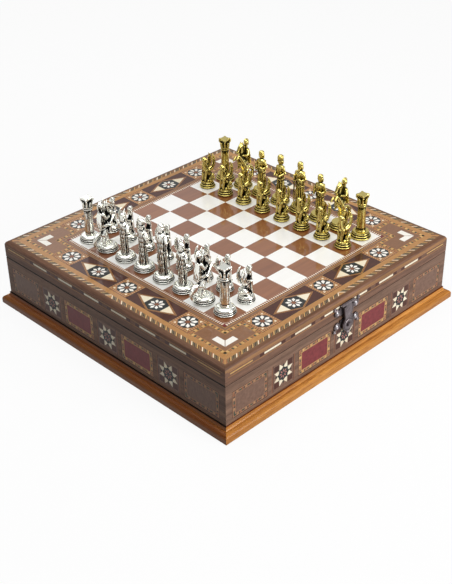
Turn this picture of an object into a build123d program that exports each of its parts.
from build123d import *
import os

# All lengths are millimetres. The box stands on z = 0 with its middle at the origin, its hasp towards -Y,
# its hinges towards +Y and its lid's board facing up.

# Board: equal squares inside an inlaid border, from the middle of the lid outwards
square = 30.0
squares_across = 8
inner_band_width = 8.1
border_width = 28.0
outer_band_width = 10.6
lid_edge_width = 5.8
rosette_tile_length = 28.0
corner_tile_arm = 51.1
veneer = 1.0

# Lid: mitred rails, rebated to carry the panel under the board
lid_height = 20.0
lid_rail_thickness = 10.0
lid_panel_thickness = 6.0
lid_roundover = 5.0
seam_chamfer = 0.5

# Case: mitred walls standing on a floor, inside a plinth moulding
case_height = 60.0
wall_thickness = 10.0
floor_thickness = 5.0
plinth_height = 14.0
plinth_projection = 8.0
plinth_foot_height = 3.0
plinth_bead_height = 9.5
plinth_round_radius = 5.6
plinth_step = 1.2
plinth_hollow_radius = 5.0
plinth_top_width = 1.2
plinth_cap_projection = 2.4

# Inlays let into the sides of the case and the lid
side_inlay_depth = 1.0
side_inlay_rise = 4.0
side_inlay_drop = 10.6
star_tile_width = 33.0
side_inlay_gap = 5.5
side_end_margin = 8.5
lid_bar_length = 23.8
lid_bar_height = 3.4
lid_bars_per_side = 6
lid_bar_margin = 42.3
lid_bar_drop = 8.2

# Storage space: a velvet tray with one partition
lining_thickness = 1.5
lining_top_gap = 2.0
divider_thickness = 6.0
divider_height = 46.0

# Lid hinges: two butt hinges let into the back edge
hinge_spread = 105.0
hinge_length = 40.0
hinge_leaf_width = 8.0
hinge_leaf_thickness = 1.0
hinge_barrel_radius = 2.5
hinge_pin_radius = 1.1
hinge_knuckles = 5
hinge_clearance = 0.3
pin_clearance = 0.1
hinge_screw_spread = 13.0

# Hasp: a lobed plate on the lid, a hanging strap and a lobed keeper on the case
latch_plate_thickness = 1.2
latch_axis_drop = 7.0
latch_barrel_radius = 1.8
latch_barrel_length = 20.0
latch_barrel_gap = 0.4
latch_pin_radius = 0.8
latch_knuckle_length = 8.7
latch_plate_width = 22.0
latch_plate_height = 9.5
latch_lobe_radius = 4.4
latch_lobe_spread = 14.5
latch_scroll_radius = 2.2
latch_scroll_rise = 5.2
latch_scroll_spread = 18.2
hasp_thickness = 1.4
hasp_top_width = 15.5
hasp_waist_width = 10.0
hasp_bell_radius = 8.0
hasp_bell_drop = 24.5
hasp_tip_radius = 2.6
hasp_tip_drop = 34.0
hasp_knob_radius = 2.3
hasp_knob_height = 2.6
keeper_width = 20.0
keeper_height = 11.0
keeper_top_drop = 4.0
keeper_catch_radius = 3.0
keeper_catch_tip = 1.5
keeper_catch_height = 0.8

# Fasteners: countersunk wood screws, and round-headed nails through the hasp's plates
screw_head_radius = 2.6
screw_shank_radius = 1.3
screw_length = 14.0
floor_screw_spread = 100.0
hinge_screw_head_radius = 2.2
hinge_screw_shank_radius = 1.0
hinge_screw_length = 9.0
nail_head_radius = 1.9
nail_head_height = 0.9
nail_shank_radius = 0.7
nail_length = 7.0
fastener_clearance = 0.05

# Chessmen: heights above the board and their turned bases
king_height = {"silver": 66.0, "gold": 61.0}
queen_height = 60.0
bishop_height = 55.5
knight_height = 60.0
rook_height = 52.5
pawn_height = 39.5
officer_base_radius = 11.6
pawn_base_radius = 9.4
base_rings = {"silver": 2, "gold": 3}
base_ring_height = 2.3
base_ring_step = 1.1
base_dome_height = {"silver": 3.6, "gold": 1.2}
base_dome_radius = 6.0
base_dome_roundness = 0.25
figure_sink = 0.6
joint_swell = 1.06

# Robed chessmen: widths of the robe, the head and what they carry
hem_radius = {"king": 5.6, "queen": 5.0, "bishop": 5.0}
waist_radius = {"king": 4.4, "queen": 3.4, "bishop": 4.0}
shoulder_radius = {"king": 5.0, "queen": 4.0, "bishop": 4.6}
headdress_height = {"king": 6.8, "queen": 8.6, "bishop": 6.2}
headdress_radius = {"king": 3.4, "queen": 3.7, "bishop": 3.3}
headdress_rounding = 1.6
head_radius = 3.1
neck_radius = 1.9
shoulder_drop = 2.2
arm_radius = 1.7
wrist_radius = 1.3
elbow_out = 1.0
elbow_drop = 8.5
hand_forward = 5.4
hand_spread = 3.8
hand_drop = 10.5
shield_radius = 4.6
shield_thickness = 1.6
staff_radius = 0.9
staff_rise = 8.0

# Rooks: a column with collars, a flared capital and a square top slab
column_radius = {"silver": 5.0, "gold": 4.9}
column_taper = 0.5
abacus_side = {"silver": 11.0, "gold": 10.6}
abacus_height = 2.4
capital_height = 7.5
collar_height = 1.6
collar_projection = 0.9
collar_gap = 1.2

# Knights: points of a rearing horse and its rider, as forward, sideways and up from the square's middle
horse_hind_hoof = (-3.6, 2.4, 7.0)
horse_hip = (-4.2, 1.8, 20.5)
horse_rump = (-3.6, 0.0, 21.5)
horse_chest = (3.0, 0.0, 32.5)
horse_poll = (3.6, 0.0, 53.4)
horse_muzzle = (8.8, 0.0, 47.0)
horse_knee = (9.2, 2.6, 40.5)
horse_fore_hoof = (12.4, 2.6, 37.5)
horse_tail_bends = ((-11.0, 0.0, 22.5), (-18.0, 0.0, 16.0), (-17.0, 0.0, 8.0), (-10.0, 0.0, 4.6))
rider_seat = (-3.0, 0.0, 31.0)
rider_shoulders = (-5.2, 0.0, 46.0)
rider_hand = (2.4, 3.0, 41.0)
horse_rump_radius = 4.7
horse_chest_radius = 4.3
horse_poll_radius = 2.7
horse_muzzle_radius = 1.7
horse_thigh_radius = 2.6
horse_leg_radius = 1.3
horse_tail_radius = 1.9
rider_seat_radius = 3.4
rider_shoulder_radius = 3.6
rider_head_radius = 2.7

# Pawns: points of a seated sphinx with two raised wings, given the same way
sphinx_fore_paw = (6.0, 2.0, 8.6)
sphinx_shoulder = (4.4, 2.2, 21.5)
sphinx_chest = (3.8, 0.0, 23.0)
sphinx_haunch = (-4.2, 0.0, 13.0)
sphinx_thigh = (-4.0, 2.4, 11.6)
sphinx_hind_paw = (0.4, 3.2, 8.6)
sphinx_head_forward = 5.4
sphinx_wing_root = (1.0, 2.4, 22.5)
sphinx_wing_bends = ((-5.4, 3.2, 24.0), (-8.2, 3.4, 31.0), (-5.8, 3.0, 41.0))
sphinx_haunch_radius = 4.2
sphinx_chest_radius = 3.5
sphinx_thigh_radius = 3.2
sphinx_arm_radius = 1.9
sphinx_paw_radius = 1.3
sphinx_neck_radius = 2.5
sphinx_head_radius = 3.0
sphinx_wing_radii = (2.3, 2.1, 1.8, 0.7)

# Levels and half widths that follow from the sizes above
field_half = square * squares_across / 2
border_inner = field_half + inner_band_width
border_outer = border_inner + border_width
panel_half = border_outer + outer_band_width
lid_half = panel_half + lid_edge_width
corner_start = border_outer - corner_tile_arm
seam_z = case_height
lid_top = case_height + lid_height
panel_top = lid_top - veneer
panel_low = panel_top - lid_panel_thickness
storage_half = lid_half - wall_thickness
side_inlay_low = plinth_height + side_inlay_rise
side_inlay_height = seam_z - side_inlay_drop - side_inlay_low
hinge_axis_y = lid_half + hinge_barrel_radius + hinge_clearance
latch_axis_z = lid_top - latch_axis_drop
latch_axis_out = latch_barrel_radius + latch_barrel_gap

os.makedirs("parts", exist_ok=True)


def save(name, *pieces):
    """Writes a piece, or a group of like pieces, as its own file."""
    solids = [solid for piece in pieces for solid in piece.solids()]
    export_step(Compound(children=solids), f"parts/{name}.step")


def block(low, high):
    """A box between two opposite corners."""
    size = Vector(*high) - Vector(*low)
    return Pos(*low) * Box(size.X, size.Y, size.Z, align=(Align.MIN, Align.MIN, Align.MIN))


def on_side(side, piece):
    """Turns a piece made for the front onto side 0 front, 1 right, 2 back or 3 left."""
    return Rot(0, 0, 90 * side) * piece


def mitred_run(section):
    """A front length of a section drawn in Y and Z, cut at 45 degrees at both ends."""
    reach = lid_half + plinth_projection
    length = extrude(Plane.YZ * section, amount=reach, both=True)
    wedge = extrude(Polygon((0, 0), (-reach, -reach), (reach, -reach), align=None), amount=lid_top)
    return length & wedge


def outermost(section, rank):
    """The corner of a section that lies furthest out, along its bottom (rank 0) or its top (rank -1)."""
    return section.vertices().group_by(Axis.Y)[rank].sort_by(Axis.X)[0]


def screw(head_radius, shank_radius, length, clearance=0.0):
    """A countersunk screw pointing up from a head that is flush with z = 0."""
    head_height = head_radius - shank_radius
    head = Solid.make_cone(head_radius + clearance, shank_radius + clearance, head_height)
    return head + Solid.make_cylinder(shank_radius + clearance, length)


# Inlays of one side of the case, listed from the middle outwards, and their places on the front
star_half = star_tile_width / 2
side_panel_width = (2 * (lid_half - side_end_margin - 3 * star_half - 3 * side_inlay_gap)) / 4
red_centre = star_half + side_inlay_gap + side_panel_width / 2
outer_star_centre = red_centre + side_panel_width / 2 + side_inlay_gap + star_half
walnut_centre = outer_star_centre + star_half + side_inlay_gap + side_panel_width / 2


def side_inlay(centre, width):
    """An inlay on the front of the case, flush with the wall's face."""
    low = (centre - width / 2, -lid_half, side_inlay_low)
    high = (centre + width / 2, -lid_half + side_inlay_depth, side_inlay_low + side_inlay_height)
    return block(low, high)


star_tiles = [side_inlay(x, star_tile_width) for x in (-outer_star_centre, 0, outer_star_centre)]
panel_places = (-walnut_centre, -red_centre, red_centre, walnut_centre)
side_panels = [side_inlay(x, side_panel_width) for x in panel_places]


lid_bar_pitch = 2 * (lid_half - lid_bar_margin) / lid_bars_per_side


def lid_bar(number):
    """A cream bar on the front of the lid, flush with the rail's face."""
    centre = (number - (lid_bars_per_side - 1) / 2) * lid_bar_pitch
    low = (centre - lid_bar_length / 2, -lid_half, lid_top - lid_bar_drop - lid_bar_height / 2)
    high = (centre + lid_bar_length / 2, -lid_half + side_inlay_depth, low[2] + lid_bar_height)
    return block(low, high)


lid_bars = [lid_bar(number) for number in range(lid_bars_per_side)]

# Lid hinges: each leaf is a plate let into its edge, with tabs rolled into its own knuckles round the pin
knuckle_length = hinge_length / hinge_knuckles


def hinge_plate(x, low):
    """The flat part of a leaf, from level low up, in the back edge of the case or the lid."""
    corner = (x - hinge_length / 2, lid_half - hinge_leaf_width, low)
    return block(corner, (x + hinge_length / 2, lid_half, low + hinge_leaf_thickness))


def hinge_knuckle(x, number, low):
    """One knuckle of the barrel with the tab that joins it to its plate."""
    start = x - hinge_length / 2 + number * knuckle_length + hinge_clearance / 2
    length = knuckle_length - hinge_clearance
    along = Plane(origin=(start, hinge_axis_y, seam_z), z_dir=(1, 0, 0))
    tab = block((start, lid_half, low), (start + length, hinge_axis_y, low + hinge_leaf_thickness))
    bore = Solid.make_cylinder(hinge_pin_radius + pin_clearance, length, along)
    return Solid.make_cylinder(hinge_barrel_radius, length, along) + tab - bore


def hinge_leaf(x, low, first_knuckle):
    """A whole leaf: its plate and every second knuckle."""
    leaf = hinge_plate(x, low)
    for number in range(first_knuckle, hinge_knuckles, 2):
        leaf += hinge_knuckle(x, number, low)
    return leaf


hinge_places = (-hinge_spread, hinge_spread)
hinge_screw_places = [(x + dx, lid_half - hinge_leaf_width / 2)
                      for x in hinge_places for dx in (-hinge_screw_spread, hinge_screw_spread)]


def hinge_screws(upwards, clearance=0.0):
    """The screws of both leaves on one side of the seam, with their heads flush with it."""
    one = screw(hinge_screw_head_radius, hinge_screw_shank_radius, hinge_screw_length, clearance)
    turn = 0 if upwards else 180
    return [Pos(x, y, seam_z) * Rot(turn, 0, 0) * one for x, y in hinge_screw_places]


case_leaves = [hinge_leaf(x, seam_z - hinge_leaf_thickness, 0) for x in hinge_places]
lid_leaves = [hinge_leaf(x, seam_z, 1) for x in hinge_places]
for hole in hinge_screws(False, fastener_clearance):
    case_leaves = [leaf - hole for leaf in case_leaves]
for hole in hinge_screws(True, fastener_clearance):
    lid_leaves = [leaf - hole for leaf in lid_leaves]

# Hasp: the plates lie flat on the front, and outlines are drawn there as across and up
front = Plane(origin=(0, -lid_half, 0), x_dir=(1, 0, 0), z_dir=(0, -1, 0))
plate_top = latch_axis_z - latch_barrel_radius
plate_low = plate_top - latch_plate_height
lobe_z = (plate_top + plate_low) / 2
keeper_top = seam_z - keeper_top_drop
keeper_lobe_z = keeper_top - keeper_height / 2
plate_nails = [(-latch_lobe_spread, lobe_z), (latch_lobe_spread, lobe_z)]
keeper_nails = [(-latch_lobe_spread, keeper_lobe_z), (latch_lobe_spread, keeper_lobe_z)]


def lobed_outline(width, low, high, scroll_rise):
    """A rectangle with a round lobe and a smaller scroll at each side."""
    middle = (low + high) / 2
    outline = Pos(0, middle) * Rectangle(2 * latch_lobe_spread, latch_lobe_radius)
    outline += Pos(0, middle) * Rectangle(width, high - low)
    for side in (-1, 1):
        outline += Pos(side * latch_lobe_spread, middle) * Circle(latch_lobe_radius)
        outline += Pos(side * latch_scroll_spread, middle + scroll_rise) * Circle(latch_scroll_radius)
    return outline


def nail(place, clearance=0.0):
    """A round-headed nail through a plate of the hasp, pointing into the wood."""
    across, up = place
    into = Plane(origin=(across, -lid_half - latch_plate_thickness, up), z_dir=(0, 1, 0))
    out = Plane(origin=into.origin, z_dir=(0, -1, 0))
    shank = Solid.make_cylinder(nail_shank_radius + clearance, nail_length, into)
    return shank + Solid.make_cone(nail_head_radius, nail_shank_radius, nail_head_height, out)


def latch_knuckle(start, length):
    """A length of the hasp's barrel from start along X, and the bore through it."""
    along = Plane(origin=(start, -lid_half - latch_axis_out, latch_axis_z), z_dir=(1, 0, 0))
    bore = Solid.make_cylinder(latch_pin_radius + pin_clearance, length, along)
    return Solid.make_cylinder(latch_barrel_radius, length, along), bore


latch_plate = extrude(front * lobed_outline(latch_plate_width, plate_low, plate_top, latch_scroll_rise),
                      amount=latch_plate_thickness)
outer_knuckle = latch_knuckle_length / 2 + hinge_clearance
outer_length = latch_barrel_length / 2 - outer_knuckle
for start in (outer_knuckle, -latch_barrel_length / 2):
    knuckle, bore = latch_knuckle(start, outer_length)
    tab = block((start, -lid_half - latch_plate_thickness, plate_low),
                (start + outer_length, -lid_half, latch_axis_z))
    latch_plate = latch_plate + tab + knuckle - bore

keeper_outline = lobed_outline(keeper_width, keeper_top - keeper_height, keeper_top, -latch_scroll_rise)
latch_keeper = extrude(front * keeper_outline, amount=latch_plate_thickness)
catch_z = latch_axis_z - hasp_bell_drop
catch_plane = Plane(origin=(0, -lid_half - latch_plate_thickness, catch_z), z_dir=(0, -1, 0))
latch_keeper += Solid.make_cone(keeper_catch_radius, keeper_catch_tip, keeper_catch_height, catch_plane)

hasp_out = latch_axis_out + latch_barrel_radius - hasp_thickness
hasp_top = latch_axis_z - latch_barrel_radius - hinge_clearance
waist_z = latch_axis_z - hasp_bell_drop + hasp_bell_radius
bell_z = latch_axis_z - hasp_bell_drop
tip_z = latch_axis_z - hasp_tip_drop
hasp_outline = Polygon((hasp_top_width / 2, hasp_top), (-hasp_top_width / 2, hasp_top),
                       (-hasp_waist_width / 2, waist_z), (-hasp_waist_width / 2, bell_z),
                       (hasp_waist_width / 2, bell_z), (hasp_waist_width / 2, waist_z), align=None)
neck_height = latch_axis_z - hasp_top
hasp_outline += Pos(0, hasp_top + neck_height / 2) * Rectangle(latch_knuckle_length, neck_height)
hasp_outline += Pos(0, bell_z) * Circle(hasp_bell_radius)
bell_half = hasp_bell_radius / 2
hasp_outline += Polygon((bell_half, bell_z), (-bell_half, bell_z), (0, tip_z), align=None)
hasp_outline += Pos(0, tip_z) * Circle(hasp_tip_radius)
hasp_plane = front.offset(hasp_out)
hasp_knuckle, hasp_bore = latch_knuckle(-latch_knuckle_length / 2, latch_knuckle_length)
latch_hasp = extrude(hasp_plane * hasp_outline, amount=hasp_thickness) + hasp_knuckle - hasp_bore
knob_plane = Plane(origin=(0, -lid_half - hasp_out - hasp_thickness, bell_z), z_dir=(0, -1, 0))
latch_hasp += Solid.make_cylinder(hasp_knob_radius, hasp_knob_height, knob_plane)

hinge_pin_starts = [(x - hinge_length / 2, hinge_axis_y, seam_z) for x in hinge_places]
hinge_pin_planes = [Plane(origin=start, z_dir=(1, 0, 0)) for start in hinge_pin_starts]
hinge_pins = [Solid.make_cylinder(hinge_pin_radius, hinge_length, plane) for plane in hinge_pin_planes]
latch_pin_start = (-latch_barrel_length / 2, -lid_half - latch_axis_out, latch_axis_z)
latch_pin_plane = Plane(origin=latch_pin_start, z_dir=(1, 0, 0))
latch_pin = Solid.make_cylinder(latch_pin_radius, latch_barrel_length, latch_pin_plane)

for place in plate_nails:
    latch_plate -= nail(place, fastener_clearance)
for place in keeper_nails:
    latch_keeper -= nail(place, fastener_clearance)

# Case: four walls with pockets for the inlays, on a floor that is screwed to them from below
wall_section = Pos(-lid_half + wall_thickness / 2, (floor_thickness + seam_z) / 2) * Rectangle(
    wall_thickness, seam_z - floor_thickness)
wall_section = chamfer(outermost(wall_section, -1), seam_chamfer)
plain_wall = mitred_run(wall_section)
for inlay in star_tiles + side_panels:
    plain_wall -= inlay


def floor_screws(clearance=0.0):
    """Two screws into the underside of the front wall."""
    one = screw(screw_head_radius, screw_shank_radius, screw_length, clearance)
    y = -lid_half + wall_thickness / 2
    return [Pos(x, y, 0) * one for x in (-floor_screw_spread, floor_screw_spread)]


case_floor = block((-lid_half, -lid_half, 0), (lid_half, lid_half, floor_thickness))
for hole in floor_screws(fastener_clearance):
    plain_wall -= hole
    for side in range(4):
        case_floor -= on_side(side, hole)
walls = [on_side(side, plain_wall) for side in range(4)]
for place in keeper_nails:
    walls[0] -= nail(place, fastener_clearance)
for cutter in [hinge_plate(x, seam_z - hinge_leaf_thickness) for x in hinge_places]:
    walls[2] -= cutter
for hole in hinge_screws(False, fastener_clearance):
    walls[2] -= hole
for side, name in enumerate(("front", "right", "back", "left")):
    save(f"case_{name}_wall", walls[side])
save("case_floor", case_floor)
save("case_star_tiles", *[on_side(side, tile) for side in range(4) for tile in star_tiles])
save("case_side_panels", *[on_side(side, panel) for side in range(4) for panel in side_panels])

# Plinth moulding: a flat foot, a large round, a step and a hollow up to the wall
plinth_back = -lid_half
plinth_front = -lid_half - plinth_projection
cap_front = -lid_half - plinth_cap_projection
step_front = cap_front - plinth_step
top_front = plinth_back - plinth_top_width
plinth_section = make_face([
    Line((plinth_back, 0), (plinth_front, 0)),
    Line((plinth_front, 0), (plinth_front, plinth_foot_height)),
    RadiusArc((plinth_front, plinth_foot_height), (step_front, plinth_bead_height), plinth_round_radius),
    Line((step_front, plinth_bead_height), (cap_front, plinth_bead_height)),
    RadiusArc((cap_front, plinth_bead_height), (top_front, plinth_height), -plinth_hollow_radius),
    Line((top_front, plinth_height), (plinth_back, plinth_height)),
    Line((plinth_back, plinth_height), (plinth_back, 0)),
])
plinth = mitred_run(plinth_section)
save("plinth_moulding", *[on_side(side, plinth) for side in range(4)])

# Storage space: a velvet tray against the walls and a partition standing in it
lining_inner = storage_half - lining_thickness
lining_top = seam_z - lining_top_gap
lining_floor = floor_thickness + lining_thickness
velvet_lining = block((-storage_half, -storage_half, floor_thickness),
                      (storage_half, storage_half, lining_top))
velvet_lining -= block((-lining_inner, -lining_inner, lining_floor),
                       (lining_inner, lining_inner, lining_top))
save("velvet_lining", velvet_lining)
save("army_divider", block((-divider_thickness / 2, -lining_inner, lining_floor),
                           (divider_thickness / 2, lining_inner, lining_floor + divider_height)))

save("hinge_case_leaves", *case_leaves)
save("latch_keeper", latch_keeper)
case_nails = [nail(place) for place in keeper_nails]
all_floor_screws = [on_side(side, one) for side in range(4) for one in floor_screws()]
save("case_screws", *all_floor_screws, *hinge_screws(False), *case_nails)

# Lid: four rebated rails around the panel, which carries the board's veneers level with the rails' tops
rail_inner = lid_half - lid_rail_thickness
rail_section = Polygon((-lid_half, seam_z), (-lid_half, lid_top), (-panel_half, lid_top),
                       (-panel_half, panel_low), (-rail_inner, panel_low), (-rail_inner, seam_z), align=None)
rail_section = fillet(outermost(rail_section, -1), lid_roundover)
rail_section = chamfer(outermost(rail_section, 0), seam_chamfer)
plain_rail = mitred_run(rail_section)
for bar in lid_bars:
    plain_rail -= bar
rails = [on_side(side, plain_rail) for side in range(4)]
for place in plate_nails:
    rails[0] -= nail(place, fastener_clearance)
for cutter in [hinge_plate(x, seam_z) for x in hinge_places]:
    rails[2] -= cutter
for hole in hinge_screws(True, fastener_clearance):
    rails[2] -= hole
for side, name in enumerate(("front", "right", "back", "left")):
    save(f"lid_{name}_rail", rails[side])
save("lid_side_bars", *[on_side(side, bar) for side in range(4) for bar in lid_bars])
save("lid_panel", block((-panel_half, -panel_half, panel_low), (panel_half, panel_half, panel_top)))
save("hinge_lid_leaves", *lid_leaves)
save("hinge_pins", *hinge_pins, latch_pin)
save("latch_plate", latch_plate)
lid_nails = [nail(place) for place in plate_nails]
save("lid_screws", *hinge_screws(True), *lid_nails)
save("latch_hasp", latch_hasp)


def veneer_tile(start, end, inner, outer):
    """A veneer on the front of the lid, from start to end across and from inner to outer off the middle."""
    return block((start, -outer, panel_top), (end, -inner, lid_top))


def banding(inner, outer):
    """A mitred length of inlaid banding along the front."""
    strip = Pos(-(inner + outer) / 2, (panel_top + lid_top) / 2) * Rectangle(outer - inner, veneer)
    return mitred_run(strip)


# Board: squares, the bandings beside the border, and the border's rosette, diamond and corner tiles
checks = {0: [], 1: []}
for column in range(squares_across):
    for row in range(squares_across):
        corner = (column * square - field_half, row * square - field_half, panel_top)
        one = block(corner, (corner[0] + square, corner[1] + square, lid_top))
        checks[(column + row) % 2].append(one)
save("dark_squares", *checks[0])
save("light_squares", *checks[1])
bandings = [banding(field_half, border_inner), banding(border_outer, panel_half)]
save("lid_bandings", *[on_side(side, band) for side in range(4) for band in bandings])
rosette_half = rosette_tile_length / 2
tile_ends = [-corner_start, -corner_start + rosette_tile_length, -rosette_half,
             rosette_half, corner_start - rosette_tile_length, corner_start]
border_tiles = [veneer_tile(start, end, border_inner, border_outer)
                for start, end in zip(tile_ends, tile_ends[1:])]
corner_tile = veneer_tile(corner_start, border_outer, corner_start, border_outer)
corner_tile -= veneer_tile(corner_start, border_inner, corner_start, border_inner)
border_tiles.append(corner_tile)
save("lid_border_tiles", *[on_side(side, tile) for side in range(4) for tile in border_tiles])


# Chessmen are made standing on z = 0 at the origin, facing +X
def turned(*profile):
    """A solid turned about Z through points of radius and height."""
    outline = Polyline(*profile, (0, profile[-1][1]), (0, profile[0][1]), close=True)
    return revolve(Plane.XZ * make_face(outline), Axis.Z)


def limb(start, end, start_radius, end_radius):
    """A tapered rod between two points, with a ball over its far end."""
    along = Vector(*end) - Vector(*start)
    rod = Plane(start, z_dir=along) * turned((start_radius, 0), (end_radius, along.length))
    return rod + Pos(*end) * Sphere(end_radius * joint_swell)


def mirrored(point):
    """The same point on the other side of a figure."""
    forward, sideways, up = point
    return (forward, -sideways, up)


def base_top(metal):
    """Height of the flat that a figure stands on."""
    return base_rings[metal] * base_ring_height + base_dome_height[metal]


def turned_base(metal, radius):
    """Rounded rings stepping inwards under a rounded shoulder."""
    bulge = base_ring_height / 2
    top = base_top(metal)
    crest = (base_dome_radius, top)
    edges = [Line((0, 0), (radius - bulge, 0))]
    for ring in range(base_rings[metal]):
        reach = radius - ring * base_ring_step
        low = ring * base_ring_height
        high = low + base_ring_height
        edges.append(ThreePointArc((reach - bulge, low), (reach, low + bulge), (reach - bulge, high)))
        if ring < base_rings[metal] - 1:
            edges.append(Line((reach - bulge, high), (reach - bulge - base_ring_step, high)))
    rise = Vector(*crest) - Vector(reach - bulge, high)
    outwards = Vector(rise.Y, -rise.X) * base_dome_roundness
    edges.append(ThreePointArc((reach - bulge, high), Vector(*crest) - rise / 2 + outwards, crest))
    edges.append(Line(crest, (0, top)))
    edges.append(Line((0, top), (0, 0)))
    return revolve(Plane.XZ * make_face(edges), Axis.Z)


def rook(metal):
    """A column with a collar at each end, a flared capital and a square slab."""
    radius = column_radius[metal]
    foot = base_top(metal) - figure_sink
    slab_low = rook_height - abacus_height
    capital_low = slab_low - capital_height
    slab_half = abacus_side[metal] / 2
    piece = turned_base(metal, officer_base_radius)
    neck = radius - column_taper
    piece += turned((radius, foot), (neck, capital_low), (slab_half, slab_low), (slab_half, rook_height))
    collar = radius + collar_projection
    for low in (base_top(metal) + collar_gap, capital_low - collar_height):
        piece += turned((collar, low), (collar, low + collar_height))
    return piece + block((-slab_half, -slab_half, slab_low), (slab_half, slab_half, rook_height))


def robed(metal, kind, height):
    """A robed figure with both forearms raised in front, a head and a rounded headdress."""
    foot = base_top(metal) - figure_sink
    head = height - headdress_height[kind]
    neck = head - head_radius
    shoulders = neck - shoulder_drop
    shoulder = shoulder_radius[kind]
    waist = (foot + shoulders) / 2
    piece = turned_base(metal, officer_base_radius)
    hem = (hem_radius[kind], foot)
    piece += turned(hem, (waist_radius[kind], waist), (shoulder, shoulders), (neck_radius, head))
    piece += Pos(0, 0, head) * Sphere(head_radius)
    brim = headdress_radius[kind]
    piece += turned((brim, head), (brim, height - headdress_rounding), (brim - headdress_rounding, height))
    for side in (-1, 1):
        joint = (0, side * (shoulder - arm_radius / 2), shoulders - arm_radius)
        elbow = (0, side * (shoulder + elbow_out), shoulders - elbow_drop)
        hand = (hand_forward, side * hand_spread, shoulders - hand_drop)
        piece += limb(joint, elbow, arm_radius * joint_swell, arm_radius)
        piece += limb(elbow, hand, arm_radius, wrist_radius)
    return piece


def disc(hand, radius):
    """A round shield facing forward, with its back against the hand that holds it."""
    forward, sideways, up = hand
    facing = Plane(origin=(forward, sideways, up), z_dir=(1, 0, 0))
    return Solid.make_cylinder(radius, shield_thickness, facing)


def king(metal):
    """A robed figure with a cap, a shield and a tall staff."""
    height = king_height[metal]
    hand_z = height - headdress_height["king"] - head_radius - shoulder_drop - hand_drop
    foot = base_top(metal) - figure_sink
    piece = robed(metal, "king", height)
    piece += disc((hand_forward, hand_spread, hand_z), shield_radius)
    staff_plane = Plane(origin=(hand_forward, -hand_spread, foot), z_dir=(0, 0, 1))
    return piece + Solid.make_cylinder(staff_radius, hand_z + staff_rise - foot, staff_plane)


def queen(metal):
    """A slender robed figure with a tall headdress."""
    return robed(metal, "queen", queen_height)


def bishop(metal):
    """A cloaked figure with a round cap and a shield."""
    hand_z = bishop_height - headdress_height["bishop"] - head_radius - shoulder_drop - hand_drop
    return robed(metal, "bishop", bishop_height) + disc((hand_forward, hand_spread, hand_z), shield_radius)


def knight(metal):
    """A rearing horse whose tail loops down to the base, with a helmeted rider."""
    piece = turned_base(metal, officer_base_radius)
    piece += Pos(*horse_rump) * Sphere(horse_rump_radius)
    piece += limb(horse_rump, horse_chest, horse_rump_radius, horse_chest_radius)
    piece += limb(horse_chest, horse_poll, horse_chest_radius, horse_poll_radius)
    piece += limb(horse_poll, horse_muzzle, horse_poll_radius, horse_muzzle_radius)
    for bend, next_bend in zip((horse_rump, *horse_tail_bends), horse_tail_bends):
        piece += limb(bend, next_bend, horse_tail_radius * joint_swell, horse_tail_radius)
    shoulder = (horse_chest[0], horse_knee[1], horse_chest[2])
    for side in (tuple, mirrored):
        piece += limb(side(horse_hip), side(horse_hind_hoof), horse_thigh_radius, horse_leg_radius)
        piece += limb(side(shoulder), side(horse_knee), horse_thigh_radius, horse_leg_radius)
        piece += limb(side(horse_knee), side(horse_fore_hoof), horse_leg_radius, horse_leg_radius)
        piece += limb(rider_shoulders, side(rider_hand), rider_head_radius, wrist_radius)
    piece += limb(rider_seat, rider_shoulders, rider_seat_radius, rider_shoulder_radius)
    helmet = (rider_shoulders[0], rider_shoulders[1], knight_height - rider_head_radius * joint_swell)
    return piece + limb(rider_shoulders, helmet, rider_shoulder_radius, rider_head_radius)


def pawn(metal):
    """A seated sphinx with straight forelegs and two wings that curve up behind its head."""
    piece = turned_base(metal, pawn_base_radius)
    piece += Pos(*sphinx_haunch) * Sphere(sphinx_haunch_radius)
    piece += limb(sphinx_haunch, sphinx_chest, sphinx_haunch_radius, sphinx_chest_radius)
    for side in (tuple, mirrored):
        piece += Pos(*side(sphinx_thigh)) * Sphere(sphinx_thigh_radius)
        piece += limb(side(sphinx_thigh), side(sphinx_hind_paw), sphinx_arm_radius, sphinx_paw_radius)
        piece += limb(side(sphinx_shoulder), side(sphinx_fore_paw), sphinx_arm_radius, sphinx_paw_radius)
        wing = [sphinx_wing_root, *sphinx_wing_bends]
        spans = zip(wing, wing[1:], sphinx_wing_radii, sphinx_wing_radii[1:])
        for start, end, thick, thin in spans:
            piece += limb(side(start), side(end), thick * joint_swell, thin)
    head = (sphinx_head_forward, 0, pawn_height - sphinx_head_radius * joint_swell)
    return piece + limb(sphinx_chest, head, sphinx_neck_radius, sphinx_head_radius)


# Opening position: each army's officers stand on the outer file and its pawns in front of them
officers = (("rook", rook), ("knight", knight), ("bishop", bishop), ("king", king),
            ("queen", queen), ("bishop", bishop), ("knight", knight), ("rook", rook))


def set_down(piece, metal, column, row):
    """Stands a piece on a square, facing the other army."""
    centre = (squares_across - 1) / 2
    facing = 0 if metal == "silver" else 180
    return Pos((column - centre) * square, (row - centre) * square, lid_top) * Rot(0, 0, facing) * piece


for metal, home, advance in (("silver", 0, 1), ("gold", squares_across - 1, squares_across - 2)):
    cast = {name: make(metal) for name, make in dict(officers).items()}
    foot_soldier = pawn(metal)
    for row, letter in enumerate("abcdefgh"):
        name = officers[row][0]
        save(f"{metal}_{name}_{letter}", set_down(cast[name], metal, home, row))
        save(f"{metal}_pawn_{letter}", set_down(foot_soldier, metal, advance, row))
